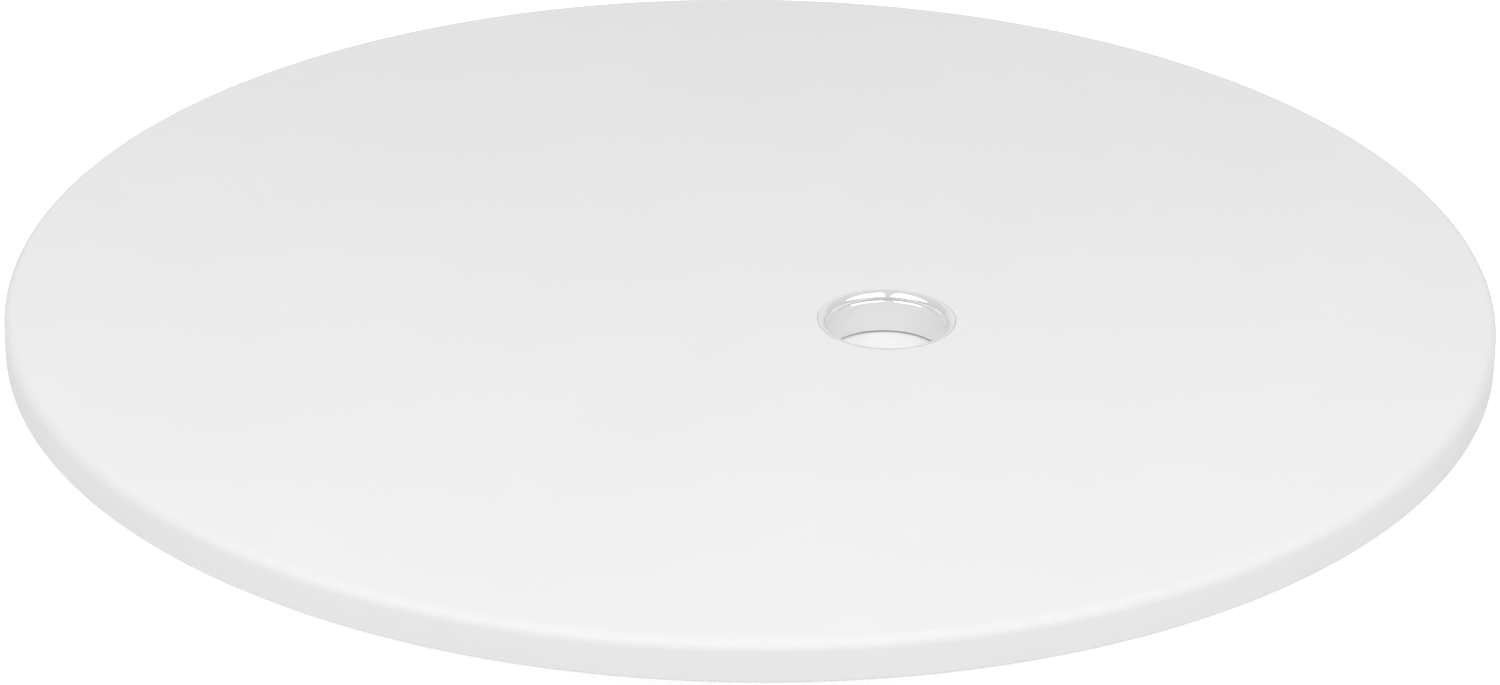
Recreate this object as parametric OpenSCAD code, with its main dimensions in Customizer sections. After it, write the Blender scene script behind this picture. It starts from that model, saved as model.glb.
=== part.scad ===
// Lazy susan turntable: a round disc on a ring ball bearing, screwed to a moulded base with rubber feet.
// Origin on the spin axis, in the plane that the feet stand on. Millimetres, +Z up.

/* [Disc] */
// Diameter of the disc
disc_d = 457; // [380:1:610]
// Thickness of the disc
disc_t = 12.7; // [11:0.1:22]
// Radius of the rounded top edge
edge_r = 3.2; // [1:0.1:5]
// Radius of the eased lower edge
lower_edge_r = 0.8; // [0.4:0.1:2]

/* [Hole in the disc] */
// Clear diameter of the lined hole
hole_d = 36; // [28:0.5:46]
// Distance from the spin axis to the right
hole_x = 41.5; // [0:0.5:60]
// Distance from the spin axis to the back
hole_y = -24; // [-60:0.5:60]
// Radius of the lip ring's round-over
lip_r = 2.6; // [2:0.1:3]
// Flat land round the lip, level with the disc
lip_land = 0.4; // [0.2:0.1:1]
// Straight wall under the lip
lip_skirt = 0.4; // [0.2:0.1:0.6]
// Wall of the sleeve
sleeve_wall = 1.8; // [1.2:0.1:2.4]
// Thickness of the sleeve's flange
flange_t = 1.2; // [0.8:0.1:1.5]
// Thickness of the gasket under the flange
gasket_t = 0.6; // [0.4:0.1:0.8]
// Height of the sleeve's nut
nut_h = 3; // [2.5:0.1:3.5]
// Radial width of the sleeve's nut
nut_w = 4.5; // [3.5:0.1:6]
// Thickness of the washer behind the nut
nut_washer_t = 0.8; // [0.5:0.1:1]
// How far the nut sits above the disc's underside
nut_inset = 0.3; // [0.2:0.1:0.5]

/* [Ring bearing] */
// Distance from the lining's nut to the inside of the bearing
race_clear = 14.3; // [5:0.1:30]
// Metal above and below the balls
race_wall_h = 1.75; // [1.5:0.05:4]
// Metal on each side of a screw's head
race_wall_w = 2.7; // [2.2:0.1:5]
// Gap between the two rings
race_gap = 2; // [1.6:0.1:2.4]
// Gap above the fixed ring and below the turning ring
race_play = 0.8; // [0.5:0.1:1.2]
// Diameter of a ball
ball_d = 5; // [4:0.5:6]
// Number of balls
ball_count = 36; // [24:1:48]
// Clearance all round a ball in its groove
ball_fit = 0.05; // [0.02:0.01:0.1]
// Thickness of the cage strip
cage_t = 0.8; // [0.6:0.1:1]
// Cage above and below a ball
cage_web = 0.45; // [0.3:0.05:0.7]
// Edge break on the rings
ring_edge = 0.6; // [0.3:0.1:0.8]

/* [Base] */
// How far the base reaches past the bearing
base_reach = 35.4; // [29:0.1:43]
// Height of the base's rim
base_h = 6; // [5:0.1:9]
// Thickness of the base's walls
base_t = 2.5; // [2:0.1:3]
// Height of the ribs under the floor
rib_h = 2.5; // [1.5:0.1:3]
// Thickness of a rib
rib_t = 2; // [1.5:0.1:3]
// Height of the screw bosses that stand on the floor
boss_rise = 3; // [1:0.5:5]
// Distance from the cover's edge to its screws
cover_bolt_inset = 22; // [10:1:40]
// Wall of the cover over the middle of the base
cover_t = 2; // [1.5:0.1:3]
// Gap between the cover and the disc
cover_gap = 0.5; // [0.5:0.1:3]
// Diameter of the hole that the disc screws are reached through
access_d = 16; // [12:0.5:20]

/* [Feet] */
// Diameter of a foot
foot_d = 22; // [18:0.5:27]
// Height of a foot below the base's rim
foot_h = 3; // [2.5:0.5:6]
// Depth of the pocket that holds the foot
foot_pocket = 2; // [1:0.5:3]
// Distance from a foot's boss to the base's edge
foot_edge_gap = 4; // [1:0.5:5]

/* [Fasteners] */
// Diameter of the bearing's screws
screw_d = 4; // [3:0.1:4.8]
// Diameter of a disc screw's low head
low_head_d = 7; // [6:0.5:7.5]
// Height of a disc screw's low head
low_head_h = 2; // [1.6:0.1:2]
// Diameter of a base screw's head
pan_head_d = 8; // [7:0.5:8]
// Height of a base screw's head
pan_head_h = 2.4; // [2:0.1:2.6]
// Diameter of the base screws' washers
washer_d = 9; // [8.5:0.5:10]
// Thickness of every steel washer
washer_t = 0.8; // [0.5:0.1:1]
// Length of a threaded insert
insert_l = 8; // [6:0.5:8]
// Outer diameter of a threaded insert
insert_d = 6; // [5:0.5:6.5]
// Diameter of a rivet
rivet_d = 3; // [2.5:0.5:3]
// Diameter of a rivet's sunk head
rivet_head_d = 5.2; // [4.5:0.1:5.5]
// Diameter of a cover screw
cover_screw_d = 3; // [2.5:0.1:3.6]
// Diameter of a cover screw's head
cover_head_d = 6; // [5:0.1:7]
// Height of a cover screw's head
cover_head_h = 1.8; // [1.5:0.1:2]
// Diameter of a foot screw
foot_screw_d = 3; // [2.5:0.1:3.6]
// Diameter of a foot screw's head
foot_head_d = 7; // [6:0.5:7]
// Height of a foot screw's head
foot_head_h = 1.4; // [1:0.1:1.4]

/* [Hidden] */
$fn = 96;
// Clearance between pieces that are screwed or pressed together
fit = 0.05;
// Clearance round a screw head or a sunk nut
head_fit = 0.3;
// How far a cutting shape runs past the face that it cuts
over = 1;

// Radii about the hole's axis
hole_r = hole_d / 2;
trim_ro = hole_r + lip_r + lip_land;
sleeve_ro = hole_r + sleeve_wall;
nut_ro = sleeve_ro + nut_w;

// Levels, from the feet up
race_h = ball_d + 2 * race_wall_h;
floor_top = foot_h + base_h;
floor_low = floor_top - base_t;
disc_low = floor_top + race_h;
disc_top = disc_low + disc_t;
ball_z = floor_top + race_h / 2;
cover_top = disc_low - cover_gap;

// Plug of the access hole, which clears the ring of ribs round the middle
plug_flange_t = 1.2;
plug_flange_w = 2;
plug_gap = 0.5;
plug_wall = 1.4;

// Radii about the spin axis: the bearing clears the lining, and the base and its feet clear the bearing
ring_w = low_head_d + 2 * head_fit + 2 * race_wall_w;
race_ri = norm([hole_x, hole_y]) + nut_ro + race_clear;
turning_ro = race_ri + ring_w;
fixed_ri = turning_ro + race_gap;
race_ro = fixed_ri + ring_w;
pitch_r = (race_ri + race_ro) / 2;
turning_bolt_r = (race_ri + turning_ro) / 2;
fixed_bolt_r = (fixed_ri + race_ro) / 2;
cover_r = turning_bolt_r - access_d / 2 - plug_flange_w - plug_gap;
cover_bolt_r = cover_r - cover_bolt_inset;
base_r = race_ro + base_reach;
disc_r = disc_d / 2;
base_edge_r = 2;
cover_edge_r = 1;

// Angles: the screws of the disc sit between those of the base, which line up with the feet
bolt_count = 6;
bolt_step = 360 / bolt_count;
turning_turn = bolt_step / 2;
access_turn = turning_turn + bolt_step;
rib_count = 2 * bolt_count;
rib_turn = bolt_step / 4;
cover_bolt_count = 3;

// Levels of the lining, from the top down and from the underside up
flange_top = disc_top - lip_r - lip_skirt;
gasket_top = flange_top - flange_t;
seat_z = gasket_top - gasket_t;
nut_low = disc_low + nut_inset;
nut_top = nut_low + nut_h;
nut_seat = nut_top + nut_washer_t;
spanner_d = 3;
spanner_depth = 2;
spanner_count = 4;

// Feet: the counterbore takes a washer and a screw head, clear of the ground
boss_wall = 2;
foot_circle_r = base_r - foot_edge_gap - boss_wall - foot_d / 2;
foot_top = foot_h + foot_pocket;
foot_edge_r = 1.2;
foot_head_gap = 1.8;
foot_bore_r = foot_head_d / 2 + foot_head_gap;
foot_head_low = 0.6;
boss_top_r = foot_screw_d / 2 + boss_wall;
boss_top = floor_top + boss_rise;
foot_washer_low = foot_head_low + foot_head_h;
foot_seat = foot_washer_low + washer_t;
tread_w = 0.8;
tread_r = (foot_bore_r + foot_d / 2 - foot_edge_r) / 2;
tread_depth = 0.4;

// Screws: how far they enter the fixed ring, the depth of its holes, and their sockets
engage = 5.5;
tap_depth = engage + 0.8;
socket_depth_share = 0.55;
socket_width_share = 0.42;
low_head_seat = floor_top + race_play + low_head_h + head_fit;

// ---- Shapes that repeat ----

// Tube about the Z axis
module tube(ri, ro, low, high) {
    rotate_extrude() translate([ri, low]) square([ro - ri, high - low]);
}

// Solid round bar about the Z axis
module bar(r, low, high) {
    translate([0, 0, low]) cylinder(r = r, h = high - low);
}

// What is taken off a corner at the origin, whose body lies to the lower left, to round it
module corner(r) {
    difference() {
        translate([-r, -r]) square(r + over);
        translate([-r, -r]) circle(r);
    }
}

// Places children on the circle of radius r, count times
module around(count, r, turn = 0) {
    for (i = [0:count - 1]) rotate(turn + i * 360 / count) translate([r, 0, 0]) children();
}

// Places children on the hole's axis
module at_hole() {
    translate([hole_x, hole_y, 0]) children();
}

// Screw that points up, with a domed head below its seat and a hexagonal socket
module screw(d, seat, tip, head_d, head_h) {
    difference() {
        union() {
            bar(d / 2, seat - over / 2, tip);
            rotate_extrude() difference() {
                translate([0, seat - head_h]) square([head_d / 2, head_h]);
                translate([head_d / 2, seat - head_h]) mirror([0, 1]) corner(head_h * socket_depth_share);
            }
        }
        translate([0, 0, seat - head_h - over])
            cylinder(r = d * socket_width_share, h = over + head_h * socket_depth_share, $fn = 6);
    }
}

// Steel washer
module washer(hole, d, low, t) {
    tube(hole / 2 + fit, d / 2, low, low + t);
}

// Outline of a bearing ring with broken edges and a ball groove
module ring_outline(ri, ro, low, high) {
    difference() {
        translate([ri, low]) square([ro - ri, high - low]);
        translate([ro, high]) corner(ring_edge);
        translate([ro, low]) mirror([0, 1]) corner(ring_edge);
        translate([ri, high]) mirror([1, 0]) corner(ring_edge);
        translate([ri, low]) rotate(180) corner(ring_edge);
        translate([pitch_r, ball_z]) circle(ball_d / 2 + ball_fit);
    }
}

// ---- Disc and the lining of its hole ----

module top_disc() {
    color("whitesmoke") difference() {
        rotate_extrude() difference() {
            translate([0, disc_low]) square([disc_r, disc_t]);
            translate([disc_r, disc_top]) corner(edge_r);
            translate([disc_r, disc_low]) mirror([0, 1]) corner(lower_edge_r);
        }
        at_hole() {
            bar(trim_ro + fit, seat_z, disc_top + over);
            bar(sleeve_ro + fit, disc_low - over, disc_top);
            bar(nut_ro + head_fit, disc_low - over, nut_seat);
        }
        around(bolt_count, turning_bolt_r, turning_turn)
            bar(insert_d / 2 + fit, disc_low - over, disc_low + insert_l + head_fit);
    }
}

module trim_ring() {
    color("silver") at_hole() rotate_extrude() difference() {
        translate([hole_r, flange_top]) square([trim_ro - hole_r, disc_top - flange_top]);
        translate([hole_r, disc_top]) mirror([1, 0]) corner(lip_r);
    }
}

module hole_sleeve() {
    color("gainsboro") at_hole() rotate_extrude() {
        translate([hole_r, gasket_top]) square([trim_ro - hole_r, flange_t]);
        translate([hole_r, disc_low]) square([sleeve_wall, flange_top - disc_low]);
    }
}

module sleeve_gasket() {
    color("dimgray") at_hole() tube(sleeve_ro + fit, trim_ro, seat_z, gasket_top);
}

module sleeve_washer() {
    color("sienna") at_hole() tube(sleeve_ro + fit, nut_ro, nut_top, nut_seat);
}

module sleeve_nut() {
    color("gray") at_hole() difference() {
        tube(sleeve_ro + fit, nut_ro, nut_low, nut_top);
        around(spanner_count, (sleeve_ro + nut_ro) / 2)
            bar(spanner_d / 2, nut_low - over, nut_low + spanner_depth);
    }
}

module threaded_inserts() {
    color("goldenrod") around(bolt_count, turning_bolt_r, turning_turn)
        tube(screw_d / 2 + fit, insert_d / 2, disc_low, disc_low + insert_l);
}

// ---- Ring bearing ----

// Turning ring before it is cut in two at the balls' middle plane
module turning_ring() {
    difference() {
        rotate_extrude() ring_outline(race_ri, turning_ro, floor_top + race_play, disc_low);
        around(bolt_count, turning_bolt_r, turning_turn) {
            bar(screw_d / 2 + fit, floor_top, disc_low + over);
            bar(low_head_d / 2 + head_fit, floor_top, low_head_seat);
        }
        around(bolt_count, turning_bolt_r) rivet(fit, over);
    }
}

// Rivet with a sunk head at each end; grown by g, it cuts its own hole, which runs out past the faces
module rivet(g, out) {
    low = floor_top + race_play;
    sink = (rivet_head_d - rivet_d) / 2;
    r = rivet_d / 2 + g;
    head_r = rivet_head_d / 2 + g;
    bar(r, low - out, disc_low + out);
    translate([0, 0, low]) cylinder(r1 = head_r, r2 = r, h = sink);
    translate([0, 0, disc_low - sink]) cylinder(r1 = r, r2 = head_r, h = sink);
}

module inner_ring_upper() {
    color("lightsteelblue") difference() {
        turning_ring();
        bar(race_ro, floor_top - over, ball_z);
    }
}

module inner_ring_lower() {
    color("lightslategray") difference() {
        turning_ring();
        bar(race_ro, ball_z, disc_low + over);
    }
}

module ring_rivets() {
    color("silver") around(bolt_count, turning_bolt_r) rivet(0, 0);
}

module disc_screws() {
    color("darkgray") around(bolt_count, turning_bolt_r, turning_turn)
        screw(screw_d, low_head_seat, disc_low + insert_l - over, low_head_d, low_head_h);
}

module ball_cage() {
    cage_h = ball_d + 2 * (ball_fit + cage_web);
    color("khaki") difference() {
        tube(pitch_r - cage_t / 2, pitch_r + cage_t / 2, ball_z - cage_h / 2, ball_z + cage_h / 2);
        around(ball_count, pitch_r - race_gap / 2) translate([0, 0, ball_z]) rotate([0, 90, 0])
            cylinder(r = ball_d / 2 + ball_fit, h = race_gap);
    }
}

module bearing_balls() {
    color("silver") around(ball_count, pitch_r) translate([0, 0, ball_z]) sphere(r = ball_d / 2, $fn = 32);
}

module outer_ring() {
    color("lightsteelblue") difference() {
        rotate_extrude() ring_outline(fixed_ri, race_ro, floor_top, disc_low - race_play);
        around(bolt_count, fixed_bolt_r) bar(screw_d / 2 + fit, floor_top - over, floor_top + tap_depth);
    }
}

// ---- Base ----

// Floor, rim and the rib round the middle, as one outline
module base_outline() {
    translate([cover_r - rib_t, floor_low - rib_h]) square([rib_t, rib_h + base_t / 2]);
    difference() {
        union() {
            translate([0, floor_low]) square([base_r, base_t]);
            translate([base_r - base_t, foot_h]) square([base_t, base_h]);
        }
        translate([base_r, floor_top]) corner(base_edge_r);
    }
}

module base_plate() {
    color("white") difference() {
        union() {
            rotate_extrude() base_outline();
            around(rib_count, 0, rib_turn) translate([cover_r - rib_t / 2, -rib_t / 2, floor_low - rib_h])
                cube([base_r - cover_r, rib_t, rib_h + base_t / 2]);
            around(bolt_count, foot_circle_r) {
                bar(foot_d / 2 + boss_wall, foot_h, floor_low + base_t / 2);
                bar(boss_top_r, floor_low + base_t / 2, boss_top);
            }
        }
        around(bolt_count, foot_circle_r) {
            bar(foot_d / 2 + fit, foot_h - over, foot_top);
            bar(foot_screw_d / 2 + fit, foot_h, boss_top - over);
        }
        around(bolt_count, fixed_bolt_r) bar(screw_d / 2 + fit, floor_low - over, floor_top + over);
        around(cover_bolt_count, cover_bolt_r)
            bar(cover_screw_d / 2 + fit, floor_low - over, floor_top + over);
        rotate(access_turn) translate([turning_bolt_r, 0, 0])
            bar(access_d / 2, floor_low - over, floor_top + over);
    }
}

module base_screws() {
    color("darkgray") around(bolt_count, fixed_bolt_r)
        screw(screw_d, floor_low - washer_t, floor_top + engage, pan_head_d, pan_head_h);
}

module base_screw_washers() {
    color("silver") around(bolt_count, fixed_bolt_r)
        washer(screw_d, washer_d, floor_low - washer_t, washer_t);
}

module access_plug() {
    plug_r = access_d / 2 - fit;
    color("white") rotate(access_turn) translate([turning_bolt_r, 0, 0]) rotate_extrude() {
        translate([0, floor_low - plug_flange_t]) square([plug_r + plug_flange_w, plug_flange_t]);
        translate([plug_r - plug_wall, floor_low - plug_flange_t / 2])
            square([plug_wall, base_t + plug_flange_t / 2]);
    }
}

// Cap over the middle of the base, with a screw boss for each of its screws
module centre_cover() {
    color("white") difference() {
        union() {
            rotate_extrude() difference() {
                translate([0, floor_top]) square([cover_r, cover_top - floor_top]);
                translate([0, floor_top - over])
                    square([cover_r - cover_t, cover_top - cover_t - floor_top + over]);
                translate([cover_r, cover_top]) corner(cover_edge_r);
            }
            around(cover_bolt_count, cover_bolt_r)
                bar(cover_screw_d / 2 + boss_wall, floor_top, cover_top - cover_t / 2);
        }
        around(cover_bolt_count, cover_bolt_r)
            bar(cover_screw_d / 2 + fit, floor_top - over, cover_top - cover_t);
    }
}

module cover_screws() {
    color("darkgray") around(cover_bolt_count, cover_bolt_r)
        screw(cover_screw_d, floor_low, cover_top - cover_t - head_fit, cover_head_d, cover_head_h);
}

// ---- Feet ----

// One rubber foot, pressed into its pocket; number counts round from +X
module foot(number) {
    color("dimgray") rotate((number - 1) * bolt_step) translate([foot_circle_r, 0, 0]) rotate_extrude()
        difference() {
            translate([foot_screw_d / 2 + fit, 0]) square([foot_d / 2 - foot_screw_d / 2 - fit, foot_top]);
            translate([foot_d / 2, 0]) mirror([0, 1]) corner(foot_edge_r);
            translate([0, -over]) square([foot_bore_r, foot_seat + over]);
            translate([tread_r - tread_w / 2, -over]) square([tread_w, tread_depth + over]);
        }
}

module foot_washers() {
    color("silver") around(bolt_count, foot_circle_r)
        tube(foot_screw_d / 2 + fit, foot_bore_r - fit, foot_washer_low, foot_seat);
}

module foot_screws() {
    color("darkgray") around(bolt_count, foot_circle_r)
        screw(foot_screw_d, foot_washer_low, boss_top - over - head_fit, foot_head_d, foot_head_h);
}

top_disc();
trim_ring();
hole_sleeve();
sleeve_gasket();
sleeve_washer();
sleeve_nut();
threaded_inserts();
inner_ring_upper();
inner_ring_lower();
ring_rivets();
disc_screws();
ball_cage();
bearing_balls();
outer_ring();
base_plate();
base_screws();
base_screw_washers();
access_plug();
centre_cover();
cover_screws();
foot(1);  // foot_1
foot(2);  // foot_2
foot(3);  // foot_3
foot(4);  // foot_4
foot(5);  // foot_5
foot(6);  // foot_6
foot_washers();
foot_screws();
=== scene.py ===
from math import cos, hypot, pi, radians, sin

import bmesh
import bpy
from mathutils import Matrix, Vector


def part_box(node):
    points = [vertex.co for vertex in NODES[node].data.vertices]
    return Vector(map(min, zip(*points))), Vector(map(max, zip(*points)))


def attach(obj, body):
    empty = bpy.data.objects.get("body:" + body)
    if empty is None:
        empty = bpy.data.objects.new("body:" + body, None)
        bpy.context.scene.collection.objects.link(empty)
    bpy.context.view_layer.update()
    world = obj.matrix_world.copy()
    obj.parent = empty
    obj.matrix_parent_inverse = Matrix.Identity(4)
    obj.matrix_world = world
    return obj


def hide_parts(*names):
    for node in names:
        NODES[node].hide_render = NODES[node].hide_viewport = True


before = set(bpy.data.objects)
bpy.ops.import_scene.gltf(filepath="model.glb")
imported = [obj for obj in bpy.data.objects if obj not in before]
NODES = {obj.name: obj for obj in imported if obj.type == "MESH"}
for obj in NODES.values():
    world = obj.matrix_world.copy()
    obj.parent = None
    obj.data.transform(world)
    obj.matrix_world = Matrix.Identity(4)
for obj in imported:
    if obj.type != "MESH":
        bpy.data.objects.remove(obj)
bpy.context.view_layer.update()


# ---- Feet ----
# Six round rubber pads, moulded with a rounded lower edge and two tread grooves. Each is pressed into a
# pocket under the base and held by a screw and washer at the bottom of its counterbore.

MM = 0.001
BASE = "base"
TURNING = "turntable"
AXIS = Vector((0, 0, 0))
SIX = 6
SAME_LEVEL = 1e-6
SAME_CIRCLE = 0.05 * MM
SAME_POINT = 1e-7

FOOT_EDGE = 1.2 * MM
FOOT_TOP_EDGE = 0.4 * MM
FOOT_BORE_EDGE = 0.3 * MM
FOOT_GROOVES = ((8.9 * MM, 0.5 * MM), (7.6 * MM, 0.7 * MM))
FOOT_GROOVE_DEPTH = 0.4 * MM
FOOT_BORE_R = 5.3 * MM
FOOT_BORE_DEPTH = 2.8 * MM
FOOT_HOLE_R = 1.55 * MM
GROOVE_REACH = 0.6
WEAR_DULLS = 0.15
WEAR_PER_METRE = 260


def start(name, add, **how):
    """Adds a primitive, with its place in its mesh, and leaves it in edit mode with nothing picked."""
    bpy.ops.object.select_all(action="DESELECT")
    add(**how)
    piece = bpy.context.object
    piece.name = name
    piece.data.name = name
    bpy.ops.object.transform_apply(location=True, rotation=True, scale=True)
    bpy.ops.object.mode_set(mode="EDIT")
    bpy.ops.mesh.select_all(action="DESELECT")
    return piece


def drum(name, centre, r, low, high, sides):
    """Solid cylinder between two heights, in edit mode."""
    return start(
        name, bpy.ops.mesh.primitive_cylinder_add, vertices=sides, radius=r, depth=high - low,
        location=(centre.x, centre.y, (low + high) / 2),
    )


def pick(piece, kind, test):
    """Selects only the faces or edges, of the piece in edit mode, that pass the test."""
    bpy.ops.mesh.select_mode(type=kind)
    bpy.ops.mesh.select_all(action="DESELECT")
    mesh = bmesh.from_edit_mesh(piece.data)
    for item in mesh.faces if kind == "FACE" else mesh.edges:
        item.select_set(test(item))
    bmesh.update_edit_mesh(piece.data)


def reach(point, centre):
    """Distance of a point from an upright line through the centre."""
    return hypot(point.x - centre.x, point.y - centre.y)


def end_face(z):
    """Test for a round level face at height z."""
    return lambda face: len(face.verts) > 4 and all(abs(v.co.z - z) < SAME_LEVEL for v in face.verts)


def round_edge(centre, r, z):
    """Test for the edges of the circle of radius r at height z."""
    return lambda edge: all(
        abs(v.co.z - z) < SAME_LEVEL and abs(reach(v.co, centre) - r) < SAME_CIRCLE for v in edge.verts
    )


def step(piece, z, width, rise=0.0, sink=0.0):
    """Insets the round face at height z by width and down by sink, then raises what is left by rise."""
    pick(piece, "FACE", end_face(z))
    bpy.ops.mesh.inset(thickness=width, depth=-sink)
    if rise:
        bpy.ops.mesh.extrude_region_move(TRANSFORM_OT_translate={"value": (0, 0, rise)})


def soften(piece, centre, r, z, size, segments=3):
    """Rounds the circular edge of radius r at height z."""
    pick(piece, "EDGE", round_edge(centre, r, z))
    bpy.ops.mesh.bevel(offset=size, segments=segments, affect="EDGES")


def ring_groove(piece, centre, z, r, width, depth):
    """Cuts a groove of radius r into the round face at height z, which must reach past it."""
    mesh = bmesh.from_edit_mesh(piece.data)
    face = next(f for f in mesh.faces if end_face(z)(f))
    edge_r = reach(face.verts[0].co, centre)
    step(piece, z, edge_r - r - width / 2)
    step(piece, z, width)
    pick(piece, "FACE", lambda band: len(band.verts) == 4 and all(
        abs(v.co.z - z) < SAME_LEVEL and abs(reach(v.co, centre) - r) < width * GROOVE_REACH
        for v in band.verts
    ))
    bpy.ops.mesh.extrude_region_move(TRANSFORM_OT_translate={"value": (0, 0, depth)})


def bore_through(piece, low, high):
    """Takes away the two round end faces at these heights and joins their edges with a wall."""
    pick(piece, "FACE", lambda f: end_face(low)(f) or end_face(high)(f))
    bpy.ops.mesh.delete(type="ONLY_FACE")
    bpy.ops.mesh.select_mode(type="EDGE")
    bpy.ops.mesh.select_all(action="DESELECT")
    bpy.ops.mesh.select_non_manifold()
    bpy.ops.mesh.bridge_edge_loops()


def done(piece, smooth=30):
    """Leaves edit mode with doubles merged and faces outwards, and shades by angle."""
    bpy.ops.mesh.select_mode(type="VERT")
    bpy.ops.mesh.select_all(action="SELECT")
    bpy.ops.mesh.remove_doubles(threshold=SAME_POINT)
    bpy.ops.mesh.normals_make_consistent(inside=False)
    bpy.ops.object.mode_set(mode="OBJECT")
    bpy.ops.object.shade_smooth_by_angle(angle=radians(smooth))
    return piece


def apply(piece, modifier):
    """Applies a modifier."""
    bpy.ops.object.select_all(action="DESELECT")
    piece.select_set(True)
    bpy.context.view_layer.objects.active = piece
    bpy.ops.object.modifier_apply(modifier=modifier.name)


def turned_copy(piece, name, angle):
    """Copy of a piece, with its own mesh, turned round the spin axis."""
    copy = piece.copy()
    copy.data = piece.data.copy()
    copy.name = name
    copy.data.name = name
    copy.data.transform(Matrix.Rotation(angle, 4, "Z"))
    bpy.context.scene.collection.objects.link(copy)
    return copy


def group(name, inputs, outputs):
    """New shader node group with number, colour or vector sockets, and its two end nodes."""
    tree = bpy.data.node_groups.new(name, "ShaderNodeTree")
    for direction, sockets in (("INPUT", inputs), ("OUTPUT", outputs)):
        for socket, kind in sockets:
            tree.interface.new_socket(name=socket, in_out=direction, socket_type="NodeSocket" + kind)
    return tree, tree.nodes.new("NodeGroupInput"), tree.nodes.new("NodeGroupOutput")


def node(tree, kind, values=None, **settings):
    """New shader node with its settings and the values of its unlinked sockets."""
    made = tree.nodes.new("ShaderNode" + kind)
    for key, value in settings.items():
        setattr(made, key, value)
    for key, value in (values or {}).items():
        made.inputs[key].default_value = value
    return made


def from_axis(tree, place):
    """Gives a place's separate parts, the place brought to height 0, and its distance from the axis."""
    parts = node(tree, "SeparateXYZ")
    across = node(tree, "CombineXYZ")
    distance = node(tree, "VectorMath", operation="LENGTH")
    tree.links.new(place, parts.inputs[0])
    tree.links.new(parts.outputs["X"], across.inputs["X"])
    tree.links.new(parts.outputs["Y"], across.inputs["Y"])
    tree.links.new(across.outputs[0], distance.inputs[0])
    return parts, across.outputs[0], distance.outputs["Value"]


def make_speckle():
    """Group that gives a fine grain and a soft patchiness, both from 0 to 1, of set sizes."""
    tree, ins, outs = group(
        "speckle",
        [("Place", "Vector"), ("Grain per metre", "Float"), ("Patches per metre", "Float")],
        [("Grain", "Float"), ("Patches", "Float")],
    )
    for out, detail in (("Grain", 3), ("Patches", 5)):
        noise = node(tree, "TexNoise", {"Detail": detail, "Roughness": 0.6})
        spread = node(tree, "MapRange", {"From Min": 0.3, "From Max": 0.7})
        tree.links.new(ins.outputs["Place"], noise.inputs["Vector"])
        tree.links.new(ins.outputs[f"{out} per metre"], noise.inputs["Scale"])
        tree.links.new(noise.outputs["Fac"], spread.inputs["Value"])
        tree.links.new(spread.outputs["Result"], outs.inputs[out])
    return tree


def make_rim_wear():
    """Group that marks a broken band of rubbing around a circle on an upright axis through Middle."""
    tree, ins, outs = group(
        "rim_wear",
        [("Place", "Vector"), ("Middle", "Vector"), ("Radius", "Float"), ("Width", "Float")],
        [("Wear", "Float")],
    )
    link = tree.links.new
    offset = node(tree, "VectorMath", operation="SUBTRACT")
    radius = from_axis(tree, offset.outputs["Vector"])[2]
    away = node(tree, "Math", operation="SUBTRACT")
    distance = node(tree, "Math", operation="ABSOLUTE")
    share = node(tree, "Math", operation="DIVIDE")
    band = node(tree, "Math", {0: 1.0}, operation="SUBTRACT", use_clamp=True)
    noise = node(tree, "TexNoise", {"Scale": WEAR_PER_METRE, "Detail": 6, "Roughness": 0.65})
    broken = node(tree, "MapRange", {"From Min": 0.46, "From Max": 0.68})
    both = node(tree, "Math", operation="MULTIPLY")
    link(ins.outputs["Place"], offset.inputs[0])
    link(ins.outputs["Middle"], offset.inputs[1])
    link(radius, away.inputs[0])
    link(ins.outputs["Radius"], away.inputs[1])
    link(away.outputs[0], distance.inputs[0])
    link(distance.outputs[0], share.inputs[0])
    link(ins.outputs["Width"], share.inputs[1])
    link(share.outputs[0], band.inputs[1])
    link(ins.outputs["Place"], noise.inputs["Vector"])
    link(noise.outputs["Fac"], broken.inputs["Value"])
    link(band.outputs[0], both.inputs[0])
    link(broken.outputs["Result"], both.inputs[1])
    link(both.outputs[0], outs.inputs["Wear"])
    return tree


SPECKLE = make_speckle()
RIM_WEAR = make_rim_wear()


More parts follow.
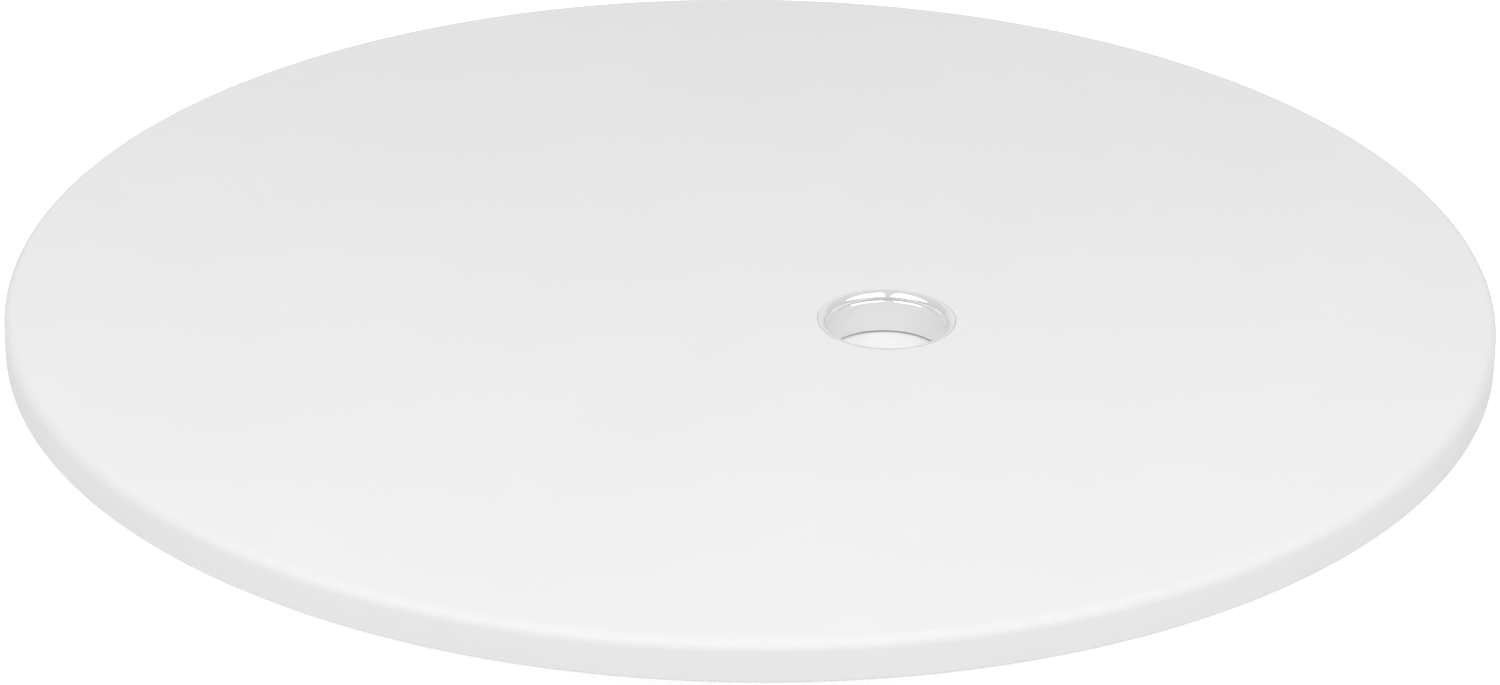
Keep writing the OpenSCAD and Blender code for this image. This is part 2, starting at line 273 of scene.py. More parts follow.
def finish_of(
    name, light, dark, rough, grain, patches, relief, metal=0.0, marks=None, wear=None, **shader
):
    """Material whose colour and roughness drift with the patches and whose relief follows the grain.

    rough is (low, high), relief is (strength, depth), and grain and patches are counts per metre. marks
    is an optional group that makes the relief in place of the grain, and adds to the roughness. wear is
    an optional (middle, radius, width, colour) of a rubbed circle. shader holds other socket values."""
    material = bpy.data.materials.new(name)
    material.use_nodes = True
    tree = material.node_tree
    link = tree.links.new
    surface = tree.nodes["Principled BSDF"]
    surface.inputs["Metallic"].default_value = metal
    for socket, value in shader.items():
        surface.inputs[socket.replace("_", " ")].default_value = value
    place = node(tree, "TexCoord")
    speckle = node(tree, "Group", node_tree=SPECKLE)
    speckle.inputs["Grain per metre"].default_value = grain
    speckle.inputs["Patches per metre"].default_value = patches
    colour = node(tree, "Mix", {"A": (*dark, 1), "B": (*light, 1)}, data_type="RGBA")
    mixed = node(tree, "Math", operation="ADD")
    half = node(tree, "Math", {1: 0.5}, operation="MULTIPLY")
    gloss = node(tree, "MapRange", {"To Min": rough[0], "To Max": rough[1]})
    bump = node(tree, "Bump", {"Strength": relief[0], "Distance": relief[1]})
    link(place.outputs["Object"], speckle.inputs["Place"])
    link(speckle.outputs["Patches"], colour.inputs["Factor"])
    link(speckle.outputs["Patches"], mixed.inputs[0])
    fine = speckle.outputs["Grain"]
    if marks:
        made = node(tree, "Group", node_tree=marks)
        link(place.outputs["Object"], made.inputs["Place"])
        fine = made.outputs["Marks"]
    link(fine, mixed.inputs[1])
    link(fine, bump.inputs["Height"])
    link(mixed.outputs[0], half.inputs[0])
    link(half.outputs[0], gloss.inputs["Value"])
    shade, dullness = colour.outputs["Result"], gloss.outputs["Result"]
    if wear:
        middle, radius, width, worn = wear
        rubbed = node(
            tree, "Group", {"Middle": middle, "Radius": radius, "Width": width}, node_tree=RIM_WEAR,
        )
        tint = node(tree, "Mix", {"B": (*worn, 1)}, data_type="RGBA")
        duller = node(tree, "Math", {1: WEAR_DULLS}, operation="MULTIPLY_ADD")
        link(place.outputs["Object"], rubbed.inputs["Place"])
        link(rubbed.outputs["Wear"], tint.inputs["Factor"])
        link(shade, tint.inputs["A"])
        link(rubbed.outputs["Wear"], duller.inputs[0])
        link(dullness, duller.inputs[2])
        shade, dullness = tint.outputs["Result"], duller.outputs[0]
    link(shade, surface.inputs["Base Color"])
    link(dullness, surface.inputs["Roughness"])
    link(bump.outputs["Normal"], surface.inputs["Normal"])
    return material


def place_piece(piece, body, slot, material, *nodes):
    """Evens out a finished piece's shading, gives it its material and body, and hides the CAD nodes it
    stands for. slot is not used.
    """
    flats = piece.modifiers.new("flats", "WEIGHTED_NORMAL")
    flats.keep_sharp = True
    apply(piece, flats)
    piece.data.materials.clear()
    piece.data.materials.append(material)
    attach(piece, body)
    if nodes:
        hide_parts(*nodes)


def paint(material, *names):
    """Puts a material on CAD nodes that are shown as they are."""
    for name in names:
        NODES[name].data.materials.clear()
        NODES[name].data.materials.append(material)


rubber = finish_of(
    "black_rubber", light=(0.035, 0.035, 0.037), dark=(0.02, 0.02, 0.021), rough=(0.55, 0.8),
    grain=2500, patches=120, relief=(0.35, 0.05 * MM), Specular_IOR_Level=0.35,
)

foot_low, foot_high = (Vector(corner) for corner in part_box("foot_1"))
foot_middle = (foot_low + foot_high) / 2
foot_r = (foot_high.x - foot_low.x) / 2
first_foot = drum("rubber_foot_1", foot_middle, foot_r, 0.0, foot_high.z, sides=72)
soften(first_foot, foot_middle, foot_r, 0.0, FOOT_EDGE, segments=6)
soften(first_foot, foot_middle, foot_r, foot_high.z, FOOT_TOP_EDGE)
for groove_r, groove_w in FOOT_GROOVES:
    ring_groove(first_foot, foot_middle, 0.0, groove_r, groove_w, FOOT_GROOVE_DEPTH)
inner_groove_r, inner_groove_w = FOOT_GROOVES[-1]
step(first_foot, 0.0, inner_groove_r - inner_groove_w / 2 - FOOT_BORE_R, FOOT_BORE_DEPTH)
step(first_foot, FOOT_BORE_DEPTH, FOOT_BORE_R - FOOT_HOLE_R)
step(first_foot, foot_high.z, foot_r - FOOT_TOP_EDGE - FOOT_HOLE_R)
bore_through(first_foot, FOOT_BORE_DEPTH, foot_high.z)
soften(first_foot, foot_middle, FOOT_BORE_R, 0.0, FOOT_BORE_EDGE)
done(first_foot)
feet = [first_foot] + [
    turned_copy(first_foot, f"rubber_foot_{i + 1}", 2 * pi * i / SIX) for i in range(1, SIX)
]
for i, foot in enumerate(feet):
    place_piece(foot, BASE, "rubber", rubber, f"foot_{i + 1}")


# ---- Base tray ----
# A round tray moulded in white plastic, open side down: a flat floor, a rounded rim, twelve ribs and a
# boss with a pocket for each foot. Its surface has the fine matt grain of the mould.

RIM_WALL = 2.5 * MM
RIM_ROUND = 2 * MM
RIM_HEIGHT = 6 * MM
RIB_WALL = 2 * MM
RIB_HEIGHT = 2.5 * MM
RIB_RING_R = 82.5 * MM
BOSS_WALL = 2 * MM
POCKET_DEPTH = 2 * MM
FIT = 0.05 * MM
SCREW_HOLE_R = 2.05 * MM
SMALL_HOLE_R = 1.55 * MM
ACCESS_R = 8 * MM
OVER = 1 * MM
MOULD_EDGE = 0.35 * MM
SHARP_DEGREES = 35
COVER_SCREWS = 3
COVER_HEAD_R = 3 * MM
WASHER_R = 4.5 * MM


def join(pieces):
    """Joins pieces into the first one."""
    bpy.ops.object.select_all(action="DESELECT")
    for piece in pieces:
        piece.select_set(True)
    bpy.context.view_layer.objects.active = pieces[0]
    bpy.ops.object.join()
    return pieces[0]


def combine(piece, tool, operation):
    """Adds the tool to the piece or cuts it from the piece, and takes the tool away."""
    modifier = piece.modifiers.new("combine", "BOOLEAN")
    modifier.operation = operation
    modifier.solver = "EXACT"
    modifier.object = tool
    apply(piece, modifier)
    bpy.data.objects.remove(tool)


def break_edges(piece, size):
    """Rounds every sharp edge by a small amount and shades the piece again."""
    modifier = piece.modifiers.new("edges", "BEVEL")
    modifier.width = size
    modifier.segments = 2
    modifier.limit_method = "ANGLE"
    modifier.angle_limit = radians(SHARP_DEGREES)
    modifier.miter_outer = "MITER_ARC"
    apply(piece, modifier)
    bpy.ops.object.mode_set(mode="EDIT")
    done(piece)


def pins(name, count, circle_r, r, low, high, sides, turn=0.0):
    """Cylinders on a circle, joined, for use as bosses or as the shape of holes."""
    made = []
    for i in range(count):
        angle = turn + 2 * pi * i / count
        centre = Vector((circle_r * cos(angle), circle_r * sin(angle), 0))
        made.append(drum(f"{name}_{i}", centre, r, low, high, sides))
        bpy.ops.object.mode_set(mode="OBJECT")
    return join(made)


mould_white = finish_of(
    "moulded_white", light=(0.9, 0.9, 0.895), dark=(0.87, 0.87, 0.865), rough=(0.42, 0.58),
    grain=3800, patches=60, relief=(0.3, 0.03 * MM), Specular_IOR_Level=0.45,
)

tray_low, tray_high = (Vector(corner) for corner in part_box("base_plate"))
tray_r = tray_high.x
rim_top = tray_low.z + RIM_HEIGHT
floor_low = rim_top - RIM_WALL
foot_circle_r = foot_middle.x
screw_circle_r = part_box("base_screw_washers")[1][0] - WASHER_R
cover_circle_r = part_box("cover_screws")[1][0] - COVER_HEAD_R
plug_box = [Vector(corner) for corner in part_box("access_plug")]
plug_middle = (plug_box[0] + plug_box[1]) / 2

tray = drum("base_tray", AXIS, tray_r, tray_low.z, rim_top, sides=240)
step(tray, tray_low.z, RIM_WALL, floor_low - tray_low.z)
soften(tray, AXIS, tray_r, rim_top, RIM_ROUND, segments=6)
done(tray)
rib = start(
    "rib", bpy.ops.mesh.primitive_cube_add, size=1.0,
    location=((RIB_RING_R + tray_r - RIM_WALL) / 2, 0, floor_low - RIB_HEIGHT / 2 + OVER / 2),
    scale=(tray_r - RIB_RING_R, RIB_WALL, RIB_HEIGHT + OVER),
)
bpy.ops.object.mode_set(mode="OBJECT")
rib_start = pi / 2 / SIX
ribs = [turned_copy(rib, f"rib_{i}", rib_start + pi * i / SIX) for i in range(2 * SIX)]
bpy.data.objects.remove(rib)
combine(tray, join(ribs), "UNION")
rib_low, rib_high = floor_low - RIB_HEIGHT, floor_low + OVER
rib_ring = drum("rib_ring", AXIS, RIB_RING_R, rib_low, rib_high, sides=180)
step(rib_ring, rib_low, RIB_WALL)
step(rib_ring, rib_high, RIB_WALL)
bore_through(rib_ring, rib_low, rib_high)
done(rib_ring)
combine(tray, rib_ring, "UNION")
bosses = pins("boss", SIX, foot_circle_r, foot_r + BOSS_WALL, tray_low.z, floor_low + OVER, sides=64)
combine(tray, bosses, "UNION")
screw_bosses = pins(
    "screw_boss", SIX, foot_circle_r, SMALL_HOLE_R + BOSS_WALL, rim_top - OVER, tray_high.z, sides=40,
)
combine(tray, screw_bosses, "UNION")
pocket_top = tray_low.z + POCKET_DEPTH
under, above = floor_low - OVER, rim_top + OVER
for holes in (
    pins("pocket", SIX, foot_circle_r, foot_r + FIT, tray_low.z - OVER, pocket_top, sides=64),
    pins("foot_hole", SIX, foot_circle_r, SMALL_HOLE_R, pocket_top - OVER, tray_high.z - OVER, sides=24),
    pins("ring_hole", SIX, screw_circle_r, SCREW_HOLE_R, under, above, sides=24),
    pins("cover_hole", COVER_SCREWS, cover_circle_r, SMALL_HOLE_R, under, above, sides=24),
):
    combine(tray, holes, "DIFFERENCE")
access = drum("access_hole", plug_middle, ACCESS_R, under, above, sides=48)
bpy.ops.object.mode_set(mode="OBJECT")
combine(tray, access, "DIFFERENCE")
break_edges(tray, MOULD_EDGE)
place_piece(tray, BASE, "base_white", mould_white, "base_plate")


# ---- Plug of the access hole ----
# The disc's screws are reached one by one through a hole in the base, which this white snap-in plug then
# closes. A coin slot across its face lets it be prised out.

PLUG_FLANGE_W = 2 * MM
PLUG_WALL = 1.4 * MM
PLUG_ROUND = 0.5 * MM
PLUG_EDGE = 0.15 * MM
SLOT_LENGTH = 10 * MM
SLOT_WIDTH = 1.6 * MM
SLOT_DEPTH = 0.6 * MM

plug_r = (plug_box[1].x - plug_box[0].x) / 2
plug = drum("access_hole_plug", plug_middle, plug_r, plug_box[0].z, floor_low, sides=64)
soften(plug, plug_middle, plug_r, plug_box[0].z, PLUG_ROUND, segments=4)
step(plug, floor_low, PLUG_FLANGE_W, RIM_WALL)
step(plug, rim_top, PLUG_WALL, -RIM_WALL)
done(plug)
coin_slot = start(
    "coin_slot", bpy.ops.mesh.primitive_cube_add, size=1.0,
    location=(plug_middle.x, plug_middle.y, plug_box[0].z),
    scale=(SLOT_LENGTH, SLOT_WIDTH, 2 * SLOT_DEPTH),
)
bpy.ops.object.mode_set(mode="OBJECT")
combine(plug, coin_slot, "DIFFERENCE")
break_edges(plug, PLUG_EDGE)
place_piece(plug, BASE, "base_white", mould_white, "access_plug")


# ---- Cover over the middle of the base ----
# A shallow white cap that closes the middle of the bearing and keeps crumbs out of it. Its top is what
# shows through the hole in the disc. Three screws from below hold it by its inner bosses.

COVER_WALL = 2 * MM
COVER_ROUND = 1 * MM
COVER_EDGE = 0.2 * MM

cover_low, cover_high = (Vector(corner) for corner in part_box("centre_cover"))
cover_r = cover_high.x
cover = drum("middle_cover", AXIS, cover_r, cover_low.z, cover_high.z, sides=180)
soften(cover, AXIS, cover_r, cover_high.z, COVER_ROUND, segments=5)
step(cover, cover_low.z, COVER_WALL, cover_high.z - COVER_WALL - cover_low.z)
done(cover)
cover_bosses = pins(
    "cover_boss", COVER_SCREWS, cover_circle_r, SMALL_HOLE_R + BOSS_WALL, cover_low.z,
    cover_high.z - COVER_WALL / 2, sides=32,
)
combine(cover, cover_bosses, "UNION")
cover_holes = pins(
    "cover_boss_hole", COVER_SCREWS, cover_circle_r, SMALL_HOLE_R, cover_low.z - OVER,
    cover_high.z - COVER_WALL, sides=24,
)
combine(cover, cover_holes, "DIFFERENCE")
break_edges(cover, COVER_EDGE)
place_piece(cover, BASE, "base_white", mould_white, "centre_cover")


# ---- Screws and washers ----
# Zinc-plated steel: low domed heads with a cross recess, seen from under the base, on flat washers with
# rounded rims. Rivets and the screws inside the bearing are of the same steel.

CROSS_WIDTH = 0.9 * MM
CROSS_REACH = 1.1
CROSS_DEPTH = 0.65
HEAD_DOME = 0.6
HEAD_SMOOTH_DEGREES = 40
THREAD_PITCH = 0.7 * MM
THREAD_ROOT = 0.88
WASHER_EDGE = 0.12 * MM


def cross_head_screws(name, nodes_name, count, head_r, head_h, shank_r):
    """One domed, cross-recessed screw for each of a node's screws, with turned thread rings."""
    low, high = (Vector(corner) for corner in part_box(nodes_name))
    centre = Vector((high.x - head_r, 0, 0))
    seat = low.z + head_h
    screw = drum(name, centre, head_r, low.z, seat, sides=40)
    soften(screw, centre, head_r, low.z, head_h * HEAD_DOME, segments=6)
    step(screw, seat, head_r - shank_r)
    z = seat
    while z + THREAD_PITCH < high.z:
        for size in (THREAD_ROOT, 1 / THREAD_ROOT):
            pick(screw, "FACE", end_face(z))
            bpy.ops.mesh.extrude_region_move(TRANSFORM_OT_translate={"value": (0, 0, THREAD_PITCH / 2)})
            bpy.ops.transform.resize(value=(size, size, 1), center_override=(centre.x, centre.y, z))
            z += THREAD_PITCH / 2
    pick(screw, "FACE", end_face(z))
    if high.z - z > SAME_LEVEL:
        bpy.ops.mesh.extrude_region_move(TRANSFORM_OT_translate={"value": (0, 0, high.z - z)})
    done(screw, HEAD_SMOOTH_DEGREES)
    arm_length = head_r * CROSS_REACH
    for size in ((arm_length, CROSS_WIDTH), (CROSS_WIDTH, arm_length)):
        arm = start(
            f"{name}_arm", bpy.ops.mesh.primitive_cube_add, size=1.0,
            location=(centre.x, centre.y, low.z), scale=(*size, 2 * CROSS_DEPTH * head_h),
        )
        bpy.ops.object.mode_set(mode="OBJECT")
        combine(screw, arm, "DIFFERENCE")
    bpy.ops.object.mode_set(mode="EDIT")
    done(screw, HEAD_SMOOTH_DEGREES)
    others = [turned_copy(screw, f"{name}_{i}", 2 * pi * i / count) for i in range(1, count)]
    return join([screw] + others)


def flat_washers(name, nodes_name, circle_r, hole_r):
    """A flat washer with softened rims for each of a node's six, on a circle."""
    low, high = (Vector(corner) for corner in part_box(nodes_name))
    rim_r = high.x - circle_r
    centre = Vector((circle_r, 0, 0))
    washer = drum(name, centre, rim_r, low.z, high.z, sides=48)
    for z in (low.z, high.z):
        step(washer, z, rim_r - hole_r)
    bore_through(washer, low.z, high.z)
    for z in (low.z, high.z):
        soften(washer, centre, rim_r, z, WASHER_EDGE, segments=2)
    done(washer)
    others = [turned_copy(washer, f"{name}_{i}", 2 * pi * i / SIX) for i in range(1, SIX)]
    return join([washer] + others)


zinc = finish_of(
    "zinc_plated_steel", light=(0.62, 0.63, 0.65), dark=(0.5, 0.51, 0.53), rough=(0.24, 0.42),
    grain=5000, patches=400, relief=(0.15, 0.02 * MM), metal=1.0,
)
for name, nodes_name, count, head_r, head_h, shank_r in (
    ("base_ring_screws", "base_screws", SIX, 4 * MM, 2.4 * MM, 2 * MM),
    ("foot_fixing_screws", "foot_screws", SIX, 3.5 * MM, 1.4 * MM, 1.5 * MM),
    ("cover_fixing_screws", "cover_screws", COVER_SCREWS, COVER_HEAD_R, 1.8 * MM, 1.5 * MM),
):
    screws = cross_head_screws(name, nodes_name, count, head_r, head_h, shank_r)
    place_piece(screws, BASE, "steel", zinc, nodes_name)
for name, nodes_name, circle_r, hole_r in (
    ("base_ring_washers", "base_screw_washers", screw_circle_r, SCREW_HOLE_R),
    ("foot_fixing_washers", "foot_washers", foot_circle_r, SMALL_HOLE_R),
):
    washers = flat_washers(name, nodes_name, circle_r, hole_r)
    place_piece(washers, BASE, "steel", zinc, nodes_name)
paint(zinc, "ring_rivets", "disc_screws")


# ---- Ring bearing ----
# Two turned aluminium rings with steel balls between them, spaced by a thin nylon strip. The fixed ring
# shows at the side, under the disc, with its broken edges and lathe marks.

RING_EDGE = 0.6 * MM
BALL_GROOVE_R = 2.55 * MM
RING_W = 13 * MM
RING_GAP = 2 * MM
TAPPED_DEPTH = 6.3 * MM
RINGS_PER_METRE = 4000


def make_lathe_marks():
    """Group that gives fine rings round the spin axis, as a turning tool leaves them."""
    tree, ins, outs = group("lathe_marks", [("Place", "Vector")], [("Marks", "Float")])
    parts, _, radius = from_axis(tree, ins.outputs["Place"])
    rings = node(tree, "CombineXYZ")
    noise = node(tree, "TexNoise", {"Scale": RINGS_PER_METRE, "Detail": 4, "Roughness": 0.7})
    tree.links.new(radius, rings.inputs["X"])
    tree.links.new(parts.outputs["Z"], rings.inputs["Y"])
    tree.links.new(rings.outputs[0], noise.inputs["Vector"])
    tree.links.new(noise.outputs["Fac"], outs.inputs["Marks"])
    return tree


turned_aluminium = finish_of(
    "turned_aluminium", light=(0.8, 0.81, 0.82), dark=(0.7, 0.71, 0.72), rough=(0.22, 0.36),
    grain=3000, patches=90, relief=(0.35, 0.02 * MM), metal=1.0, marks=make_lathe_marks(),
    Anisotropic=0.4,
)
polished_ball = finish_of(
    "polished_ball_steel", light=(0.74, 0.75, 0.77), dark=(0.68, 0.69, 0.71), rough=(0.05, 0.12),
    grain=6000, patches=300, relief=(0.05, 0.01 * MM), metal=1.0,
)
nylon = finish_of(
    "natural_nylon", light=(0.78, 0.74, 0.62), dark=(0.7, 0.66, 0.54), rough=(0.4, 0.55),
    grain=4000, patches=200, relief=(0.2, 0.02 * MM), Subsurface_Weight=0.1,
)

ring_low, ring_high = (Vector(corner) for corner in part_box("outer_ring"))
ring_r = ring_high.x
ring_inner_r = ring_r - RING_W
fixed_ring = drum("fixed_bearing_ring", AXIS, ring_r, ring_low.z, ring_high.z, sides=240)
for z in (ring_low.z, ring_high.z):
    step(fixed_ring, z, RING_W)
bore_through(fixed_ring, ring_low.z, ring_high.z)
for z in (ring_low.z, ring_high.z):
    for r in (ring_r, ring_inner_r):
        soften(fixed_ring, AXIS, r, z, RING_EDGE)
done(fixed_ring)
balls_low, balls_high = (Vector(corner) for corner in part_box("bearing_balls"))
groove = start(
    "ball_groove", bpy.ops.mesh.primitive_torus_add, major_segments=240, minor_segments=32,
    major_radius=ring_inner_r - RING_GAP / 2, minor_radius=BALL_GROOVE_R,
    location=(0, 0, (balls_low.z + balls_high.z) / 2),
)
bpy.ops.object.mode_set(mode="OBJECT")
combine(fixed_ring, groove, "DIFFERENCE")
tapped = pins(
    "tapped_hole", SIX, screw_circle_r, SCREW_HOLE_R, ring_low.z - OVER, ring_low.z + TAPPED_DEPTH,
    sides=24,
)
combine(fixed_ring, tapped, "DIFFERENCE")
bpy.ops.object.mode_set(mode="EDIT")
done(fixed_ring)
place_piece(fixed_ring, BASE, "ring_aluminium", turned_aluminium, "outer_ring")
paint(turned_aluminium, "inner_ring_upper", "inner_ring_lower")
paint(polished_ball, "bearing_balls")
paint(nylon, "ball_cage")


# ---- Disc ----
# A thick round board with a hard white satin finish, its top edge rounded over and its lower edge eased.
# The hole for the lining is stepped from both faces, and brass inserts sit in its underside.

DISC_ROUND = 3.2 * MM
DISC_EASE = 0.8 * MM
LIP_SEAT_R = 21.05 * MM
LIP_SEAT_DEPTH = 4.8 * MM
SLEEVE_HOLE_R = 19.85 * MM
NUT_SEAT_R = 24.6 * MM
NUT_SEAT_DEPTH = 4.1 * MM
INSERT_R = 3 * MM
INSERT_DEPTH = 8.3 * MM
SEAT_EDGE = 0.12 * MM
FLAT_EDGE = 0.5 * MM
ARCS_PER_METRE = 420
ARCS_ROUND = 2.5
PEEL_PER_METRE = 700


def make_turning_scuffs():
    """Group that gives a fine orange-peel grain with faint scuffs along circles round the spin axis."""
    tree, ins, outs = group("turning_scuffs", [("Place", "Vector")], [("Marks", "Float")])
    link = tree.links.new
    _, across, radius = from_axis(tree, ins.outputs["Place"])
    around = node(tree, "VectorMath", operation="NORMALIZE")
    wide = node(tree, "VectorMath", {1: (ARCS_ROUND, ARCS_ROUND, 0)}, operation="MULTIPLY")
    tight = node(tree, "Math", {1: ARCS_PER_METRE}, operation="MULTIPLY")
    lift = node(tree, "CombineXYZ")
    place = node(tree, "VectorMath", operation="ADD")
    arcs = node(tree, "TexNoise", {"Scale": 1.0, "Detail": 4, "Roughness": 0.6})
    few = node(tree, "MapRange", {"From Min": 0.62, "From Max": 0.76})
    peel = node(tree, "TexNoise", {"Scale": PEEL_PER_METRE, "Detail": 2, "Roughness": 0.5})
    less = node(tree, "Math", {1: 0.5}, operation="MULTIPLY")
    both = node(tree, "Math", operation="ADD")
    link(across, around.inputs[0])
    link(around.outputs["Vector"], wide.inputs[0])
    link(radius, tight.inputs[0])
    link(tight.outputs[0], lift.inputs["Z"])
    link(wide.outputs["Vector"], place.inputs[0])
    link(lift.outputs[0], place.inputs[1])
    link(place.outputs["Vector"], arcs.inputs["Vector"])
    link(arcs.outputs["Fac"], few.inputs["Value"])
    link(ins.outputs["Place"], peel.inputs["Vector"])
    link(peel.outputs["Fac"], less.inputs[0])
    link(few.outputs["Result"], both.inputs[0])
    link(less.outputs[0], both.inputs[1])
    link(both.outputs[0], outs.inputs["Marks"])
    return tree


brass = finish_of(
    "turned_brass", light=(0.83, 0.63, 0.3), dark=(0.72, 0.52, 0.22), rough=(0.25, 0.4),
    grain=4000, patches=300, relief=(0.2, 0.03 * MM), metal=1.0,
)

disc_low, disc_high = (Vector(corner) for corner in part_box("top_disc"))
disc_r = min(disc_high.x, disc_high.y, -disc_low.x, -disc_low.y)
lip_low, lip_high = (Vector(corner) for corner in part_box("trim_ring"))
hole = (lip_low + lip_high) / 2
disc_white = finish_of(
    "satin_white", light=(0.785, 0.785, 0.785), dark=(0.77, 0.77, 0.77), rough=(0.44, 0.56),
    grain=900, patches=18, relief=(0.06, 0.02 * MM), marks=make_turning_scuffs(),
    wear=(AXIS, disc_r - DISC_ROUND / 2, DISC_ROUND / 3, (0.755, 0.755, 0.75)), Specular_IOR_Level=0.3,
)
disc = drum("serving_disc", AXIS, disc_r, disc_low.z, disc_high.z, sides=360)
soften(disc, AXIS, disc_r, disc_high.z, DISC_ROUND, segments=12)
soften(disc, AXIS, disc_r, disc_low.z, DISC_EASE, segments=4)
done(disc)
for name, r, low, high in (
    ("lip_seat", LIP_SEAT_R, disc_high.z - LIP_SEAT_DEPTH, disc_high.z + OVER),
    ("sleeve_hole", SLEEVE_HOLE_R, disc_low.z - OVER, disc_high.z),
    ("nut_seat", NUT_SEAT_R, disc_low.z - OVER, disc_low.z + NUT_SEAT_DEPTH),
):
    seat = drum(name, hole, r, low, high, sides=180)
    bpy.ops.object.mode_set(mode="OBJECT")
    combine(disc, seat, "DIFFERENCE")
insert_circle_r = Vector(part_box("threaded_inserts")[1]).y - INSERT_R
sockets = pins(
    "insert_socket", SIX, insert_circle_r, INSERT_R + FIT, disc_low.z - OVER, disc_low.z + INSERT_DEPTH,
    sides=32, turn=pi / SIX,
)
combine(disc, sockets, "DIFFERENCE")
bpy.ops.object.mode_set(mode="EDIT")
soften(disc, hole, LIP_SEAT_R, disc_high.z, SEAT_EDGE, segments=2)
pick(disc, "FACE", lambda face: all(abs(v.co.z - disc_high.z) < SAME_LEVEL for v in face.verts))
bpy.ops.mesh.inset(thickness=FLAT_EDGE)
done(disc)
place_piece(disc, TURNING, "disc_white", disc_white, "top_disc")
paint(brass, "threaded_inserts")


# ---- Lining of the hole ----
# A polished steel lip ring, rounded into the hole down to a fine bead, sits level with the disc on the
# flange of a matt grey plastic sleeve. A sunk ring nut pulls the sleeve down over a fibre washer.

LIP_ROUND = 2.6 * MM
LIP_BEAD = 0.3 * MM
LIP_FIT = 0.02 * MM
HOLE_R = 18 * MM
SLEEVE_R = 19.8 * MM
FLANGE_T = 1.2 * MM

polished_lip = finish_of(
    "polished_lip_steel", light=(0.94, 0.94, 0.94), dark=(0.9, 0.9, 0.905), rough=(0.06, 0.12),
    grain=5000, patches=250, relief=(0.04, 0.01 * MM), metal=1.0,
)
matt_grey = finish_of(
    "matt_grey_lining", light=(0.82, 0.82, 0.82), dark=(0.79, 0.79, 0.79), rough=(0.6, 0.75),
    grain=3500, patches=150, relief=(0.2, 0.03 * MM), Specular_IOR_Level=0.3,
)
fibre = finish_of(
    "red_fibre", light=(0.36, 0.11, 0.07), dark=(0.25, 0.07, 0.05), rough=(0.7, 0.85),
    grain=2500, patches=200, relief=(0.4, 0.05 * MM),
)

lip_r = (lip_high.x - lip_low.x) / 2
lip = drum("lip_ring", hole, lip_r, lip_low.z, lip_high.z, sides=180)
bead_top = lip_high.z - LIP_ROUND - LIP_FIT
step(lip, lip_high.z, lip_r - HOLE_R - LIP_BEAD, bead_top - lip_high.z)
step(lip, bead_top, LIP_BEAD, sink=LIP_BEAD)
step(lip, lip_low.z, lip_r - HOLE_R)
bore_through(lip, lip_low.z, bead_top - LIP_BEAD)
soften(lip, hole, HOLE_R + LIP_BEAD, lip_high.z, LIP_ROUND, segments=14)
soften(lip, hole, lip_r, lip_high.z, SEAT_EDGE, segments=2)
done(lip)
place_piece(lip, TURNING, "lip_metal", polished_lip, "trim_ring")

sleeve_low, sleeve_high = (Vector(corner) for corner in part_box("hole_sleeve"))
flange_low = sleeve_high.z - FLANGE_T
sleeve = drum("grey_sleeve", hole, lip_r, flange_low, sleeve_high.z, sides=180)
step(sleeve, flange_low, lip_r - SLEEVE_R, sleeve_low.z - flange_low)
step(sleeve, sleeve_low.z, SLEEVE_R - HOLE_R)
step(sleeve, sleeve_high.z, lip_r - HOLE_R)
bore_through(sleeve, sleeve_low.z, sleeve_high.z)
soften(sleeve, hole, HOLE_R, sleeve_low.z, SEAT_EDGE, segments=2)
done(sleeve)
place_piece(sleeve, TURNING, "lining_grey", matt_grey, "hole_sleeve")
paint(matt_grey, "sleeve_nut")
paint(rubber, "sleeve_gasket")
paint(fibre, "sleeve_washer")


# ---- Floor, light and camera ----
# A plain white floor under two large soft lights in front and above. A pale sky all round is a little
# brighter overhead and towards the back, where a white screen would stand.

CAMERA_AWAY = 1.828
CAMERA_UP = 25.48
CAMERA_PITCH = 26.05
CAMERA_ROLL = 0.62
CAMERA_LENS = 142.5
SENSOR_WIDTH = 36
FLOOR_SIZE = 60
FLOOR_DROP = 0.2 * MM
FLOOR_DARK = 0.86
FLOOR_LIGHT = 0.89
FLOOR_GLOW = 0.76
LIGHT_POWER = 5
LIGHT_SIZE = (1.16, 1.3)
LIGHT_ASIDE = 0.68
LIGHT_FRONT = 0.7
LIGHT_AIM_FRONT = 0.6
LIGHT_HEIGHT = 0.8
SKY_LOW = 0.62
SKY_TOP = 0.77
SCREEN = 0.16
SCREEN_EDGES = (0.55, 0.85)

floor_material = bpy.data.materials.new("white_floor")
floor_material.use_nodes = True
floor_tree = floor_material.node_tree
floor_surface = floor_tree.nodes["Principled BSDF"]
floor_surface.inputs["Roughness"].default_value = 0.9
floor_surface.inputs["Emission Color"].default_value = (1, 1, 1, 1)
seen = node(floor_tree, "LightPath")
glow = node(floor_tree, "Math", {1: FLOOR_GLOW}, operation="MULTIPLY")
floor_place = node(floor_tree, "TexCoord")
floor_speckle = node(
    floor_tree, "Group", {"Grain per metre": 900, "Patches per metre": 3}, node_tree=SPECKLE,
)
floor_colour = node(
    floor_tree, "Mix", {"A": (*[FLOOR_DARK] * 3, 1), "B": (*[FLOOR_LIGHT] * 3, 1)}, data_type="RGBA",
)
floor_tree.links.new(floor_place.outputs["Object"], floor_speckle.inputs["Place"])
floor_tree.links.new(floor_speckle.outputs["Patches"], floor_colour.inputs["Factor"])
floor_tree.links.new(floor_colour.outputs["Result"], floor_surface.inputs["Base Color"])
floor_tree.links.new(seen.outputs["Is Camera Ray"], glow.inputs[0])
floor_tree.links.new(glow.outputs[0], floor_surface.inputs["Emission Strength"])
bpy.ops.object.select_all(action="DESELECT")
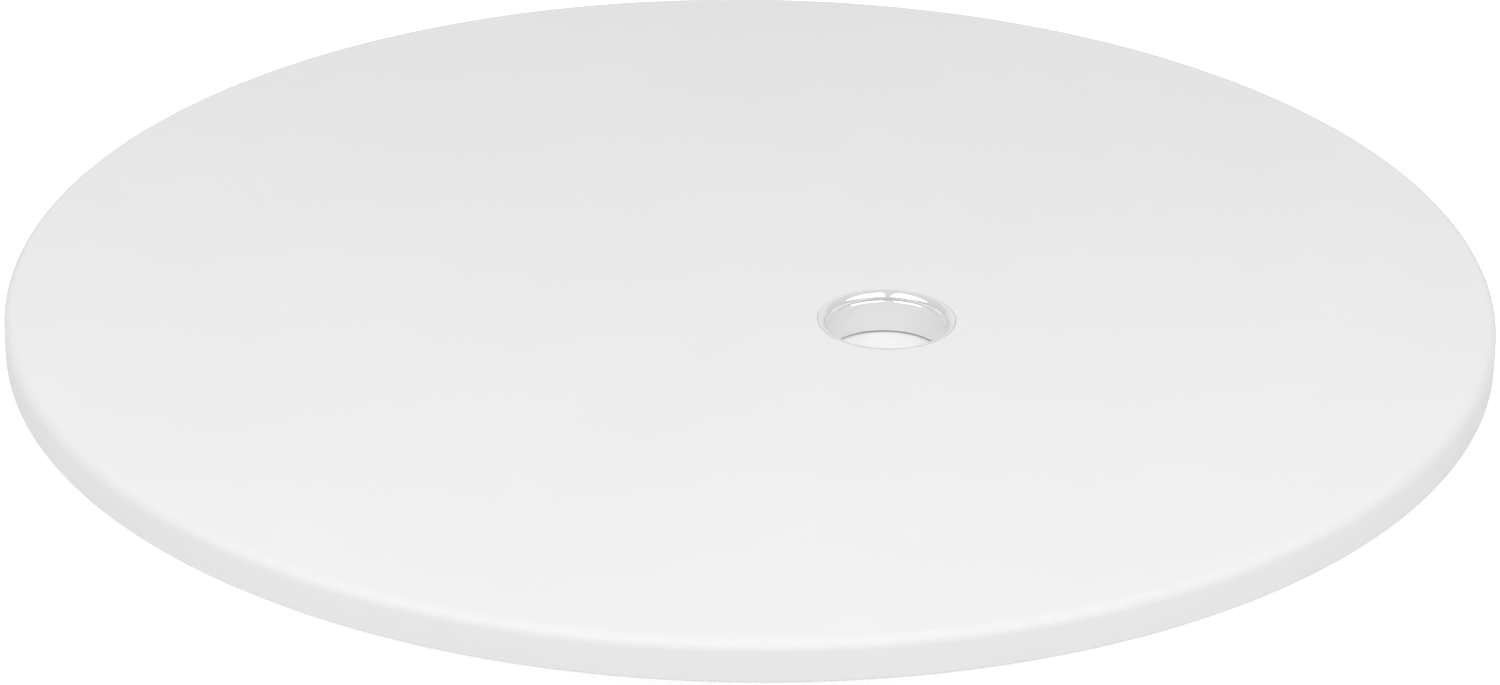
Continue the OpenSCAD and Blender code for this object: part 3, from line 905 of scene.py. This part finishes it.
bpy.ops.mesh.primitive_plane_add(size=FLOOR_SIZE, location=(0, 0, -FLOOR_DROP))
floor = bpy.context.object
floor.name = "floor"
floor.data.materials.append(floor_material)


def soft_light(name, place, target, size, power):
    """Large rectangular light that faces the target and isn't itself seen."""
    data = bpy.data.lights.new(name, "AREA")
    data.shape = "RECTANGLE"
    data.size, data.size_y = size
    data.energy = power
    light = bpy.data.objects.new(name, data)
    light.location = place
    light.rotation_euler = (Vector(target) - Vector(place)).to_track_quat("-Z", "Y").to_euler()
    light.visible_camera = False
    bpy.context.scene.collection.objects.link(light)


for side in (-1, 1):
    aside = side * LIGHT_ASIDE
    soft_light(
        f"front_light_{side}", (aside, -LIGHT_FRONT, LIGHT_HEIGHT), (aside, -LIGHT_AIM_FRONT, 0),
        LIGHT_SIZE, LIGHT_POWER,
    )

world = bpy.data.worlds.new("studio")
bpy.context.scene.world = world
world.use_nodes = True
sky = world.node_tree
direction = node(sky, "TexCoord")
parts = node(sky, "SeparateXYZ")
dome = node(sky, "MapRange", {"To Min": SKY_LOW, "To Max": SKY_TOP})
screen = node(
    sky, "MapRange", {"From Min": SCREEN_EDGES[0], "From Max": SCREEN_EDGES[1], "To Max": SCREEN},
    interpolation_type="SMOOTHSTEP",
)
both = node(sky, "Math", operation="ADD")
sky.links.new(direction.outputs["Generated"], parts.inputs[0])
sky.links.new(parts.outputs["Z"], dome.inputs["Value"])
sky.links.new(parts.outputs["Y"], screen.inputs["Value"])
sky.links.new(dome.outputs["Result"], both.inputs[0])
sky.links.new(screen.outputs["Result"], both.inputs[1])
sky.links.new(both.outputs[0], sky.nodes["Background"].inputs["Strength"])
sky.nodes["Background"].inputs["Color"].default_value = (1, 1, 1, 1)

bpy.context.scene.view_settings.view_transform = "Standard"
bpy.context.scene.view_settings.look = "None"

camera_data = bpy.data.cameras.new("camera")
camera_data.lens = CAMERA_LENS
camera_data.sensor_width = SENSOR_WIDTH
camera_data.clip_end = 100
camera = bpy.data.objects.new("camera", camera_data)
up = radians(CAMERA_UP)
aim = Vector((0, 0, disc_high.z))
eye = aim + CAMERA_AWAY * Vector((0, -cos(up), sin(up)))
camera.matrix_world = (
    Matrix.Translation(eye) @ Matrix.Rotation(radians(90 - CAMERA_PITCH), 4, "X")
    @ Matrix.Rotation(radians(CAMERA_ROLL), 4, "Z")
)
bpy.context.scene.collection.objects.link(camera)
bpy.context.scene.camera = camera
